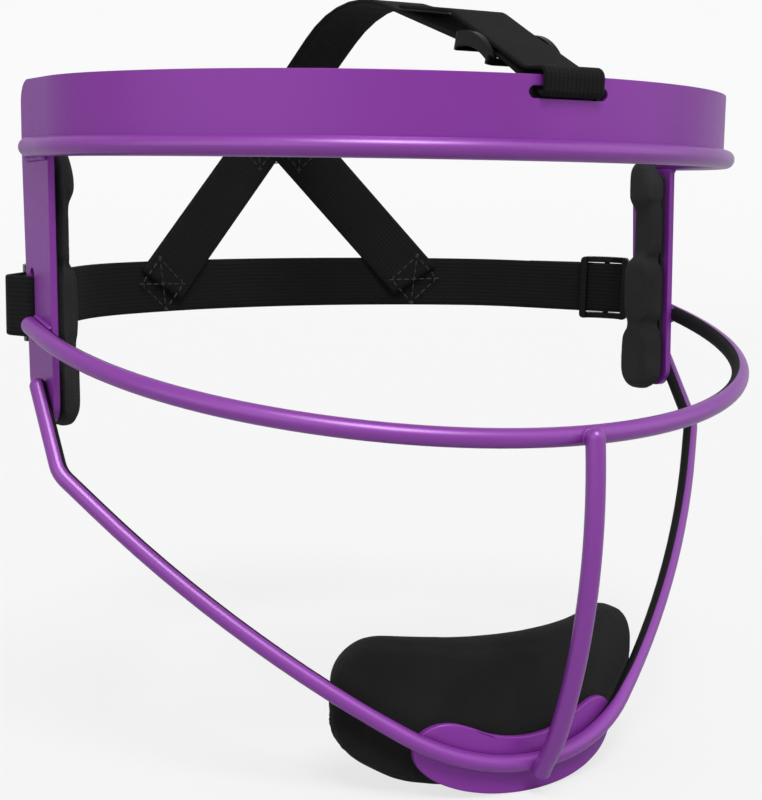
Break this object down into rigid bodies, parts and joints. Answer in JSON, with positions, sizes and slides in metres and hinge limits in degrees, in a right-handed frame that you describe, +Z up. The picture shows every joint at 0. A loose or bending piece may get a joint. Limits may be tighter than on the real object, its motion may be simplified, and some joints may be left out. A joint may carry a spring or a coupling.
{
  "type": "softball face guard",
  "caption": "Wire face guard with a sheet steel brow band, curved eye and jaw bars, foam pads and an elastic head harness that adjusts with sliders.",
  "frame": {"origin": "middle of the head opening, level with the brow rail's ends and with the front edges of the temple posts", "axes": "+X to the wearer's left, +Y to the back of the head, +Z up"},
  "size_m": [0.1864, 0.1596, 0.1808],
  "materials": {
    "coated_steel": "gloss powder coat",
    "foam_pad": "matte cloth-faced foam",
    "hook_tape": "matte hooked tape",
    "elastic_webbing": "matte ribbed elastic",
    "slider_plastic": "glossy moulded"
  },
  "bodies": {
    "guard": {"brow_band": "coated_steel", "brow_rail": "coated_steel", "left_temple_post": "coated_steel", "right_temple_post": "coated_steel", "eye_bar": "coated_steel", "jaw_bar": "coated_steel", "centre_bar": "coated_steel", "chin_plate": "coated_steel", "chin_pad": "foam_pad", "forehead_pad": "foam_pad", "left_temple_pad": "foam_pad", "right_temple_pad": "foam_pad", "chin_tape": "hook_tape", "forehead_tape": "hook_tape", "left_temple_tape": "hook_tape", "right_temple_tape": "hook_tape", "rear_strap": "elastic_webbing", "left_crown_leg": "elastic_webbing", "right_crown_leg": "elastic_webbing", "crown_strap": "elastic_webbing"},
    "left_slider": {"left_strap_slider": "slider_plastic"},
    "right_slider": {"right_strap_slider": "slider_plastic"},
    "crown_slider": {"crown_strap_slider": "slider_plastic"}
  },
  "joints": [
    {"name": "left_strap_adjust", "type": "slide", "parent": "guard", "child": "left_slider", "axis": [-0.6293, 0.7765, 0.0312], "range_m": [0, 0.014]},
    {"name": "right_strap_adjust", "type": "slide", "parent": "guard", "child": "right_slider", "axis": [0.6293, 0.7765, 0.0312], "range_m": [0, 0.014]},
    {"name": "crown_strap_adjust", "type": "slide", "parent": "guard", "child": "crown_slider", "axis": [0, 0.9486, 0.3166], "range_m": [0, 0.018]}
  ]
}
